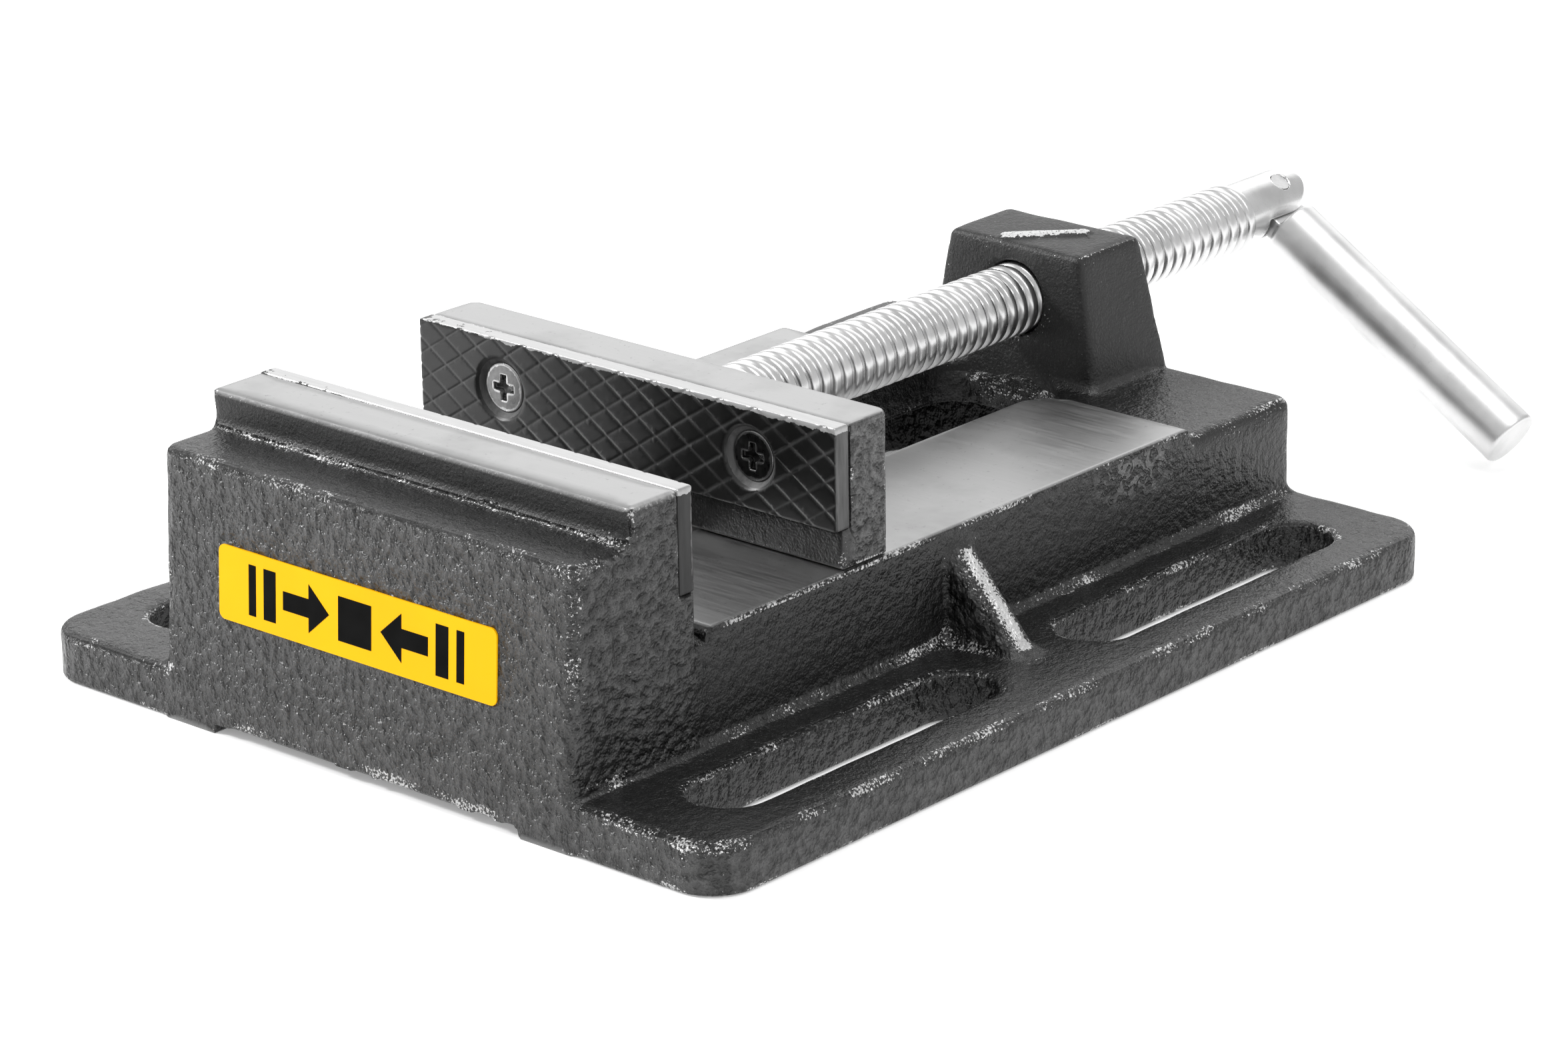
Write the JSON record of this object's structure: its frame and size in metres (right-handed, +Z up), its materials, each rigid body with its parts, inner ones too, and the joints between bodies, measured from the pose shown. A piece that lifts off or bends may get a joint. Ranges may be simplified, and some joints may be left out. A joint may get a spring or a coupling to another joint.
{
  "type": "drill press vise",
  "caption": "Low cast-iron drill press vise: slotted base flange, fixed jaw, jaw sliding on two ways, serrated jaw plates, lead screw in a nut boss and a folding handle lever.",
  "frame": {"origin": "middle of the overall length and width at rest, on the surface the vise stands on", "axes": "+X from the fixed jaw to the handle along the screw, +Y to the left seen from the handle's opposite end, +Z up"},
  "size_m": [0.2636, 0.164, 0.057],
  "materials": {
    "painted_iron": "dark grey semi-gloss paint over rough cast iron, with the ways and jaw tops machined bare",
    "blacked_steel": "blackened steel plate with a ground diamond pattern",
    "zinc_steel": "bright zinc-plated steel",
    "plain_steel": "plain mild steel, dull",
    "yellow_sticker": null
  },
  "bodies": {
    "base": {"base_casting": "painted_iron", "label_plate": "yellow_sticker", "fixed_jaw_plate": "blacked_steel", "fixed_plate_screw_left": "blacked_steel", "fixed_plate_screw_right": "blacked_steel"},
    "slide": {"moving_jaw": "painted_iron", "moving_jaw_plate": "blacked_steel", "moving_plate_screw_left": "blacked_steel", "moving_plate_screw_right": "blacked_steel", "keeper_plate": "plain_steel", "keeper_bolt_front": "zinc_steel", "keeper_bolt_rear": "zinc_steel", "keeper_lock_washer_front": "plain_steel", "keeper_lock_washer_rear": "plain_steel", "keeper_flat_washer_front": "zinc_steel", "keeper_flat_washer_rear": "zinc_steel", "screw_retaining_pin_left": "plain_steel", "screw_retaining_pin_right": "plain_steel"},
    "screw": {"lead_screw": "zinc_steel", "handle_pin": "zinc_steel"},
    "lever": {"handle_lever": "zinc_steel"}
  },
  "joints": [
    {"name": "jaw_slide", "type": "slide", "parent": "base", "child": "slide", "axis": [1, 0, 0], "range_m": [-0.0361, 0.0639]},
    {"name": "screw_turn", "type": "hinge", "parent": "slide", "child": "screw", "pos_m": [-0.05008, 0, 0.0435], "axis": [1, 0, 0], "range_deg": [-4320, 7656]},
    {"name": "handle_fold", "type": "hinge", "parent": "screw", "child": "lever", "pos_m": [0.12552, 0, 0.0435], "axis": [0, -0.5268, 0.85], "range_deg": [0, 180]}
  ],
  "couplings": [
    {"joint": "jaw_slide", "follows": "screw_turn", "m_per_rad": 0.00047746}
  ]
}
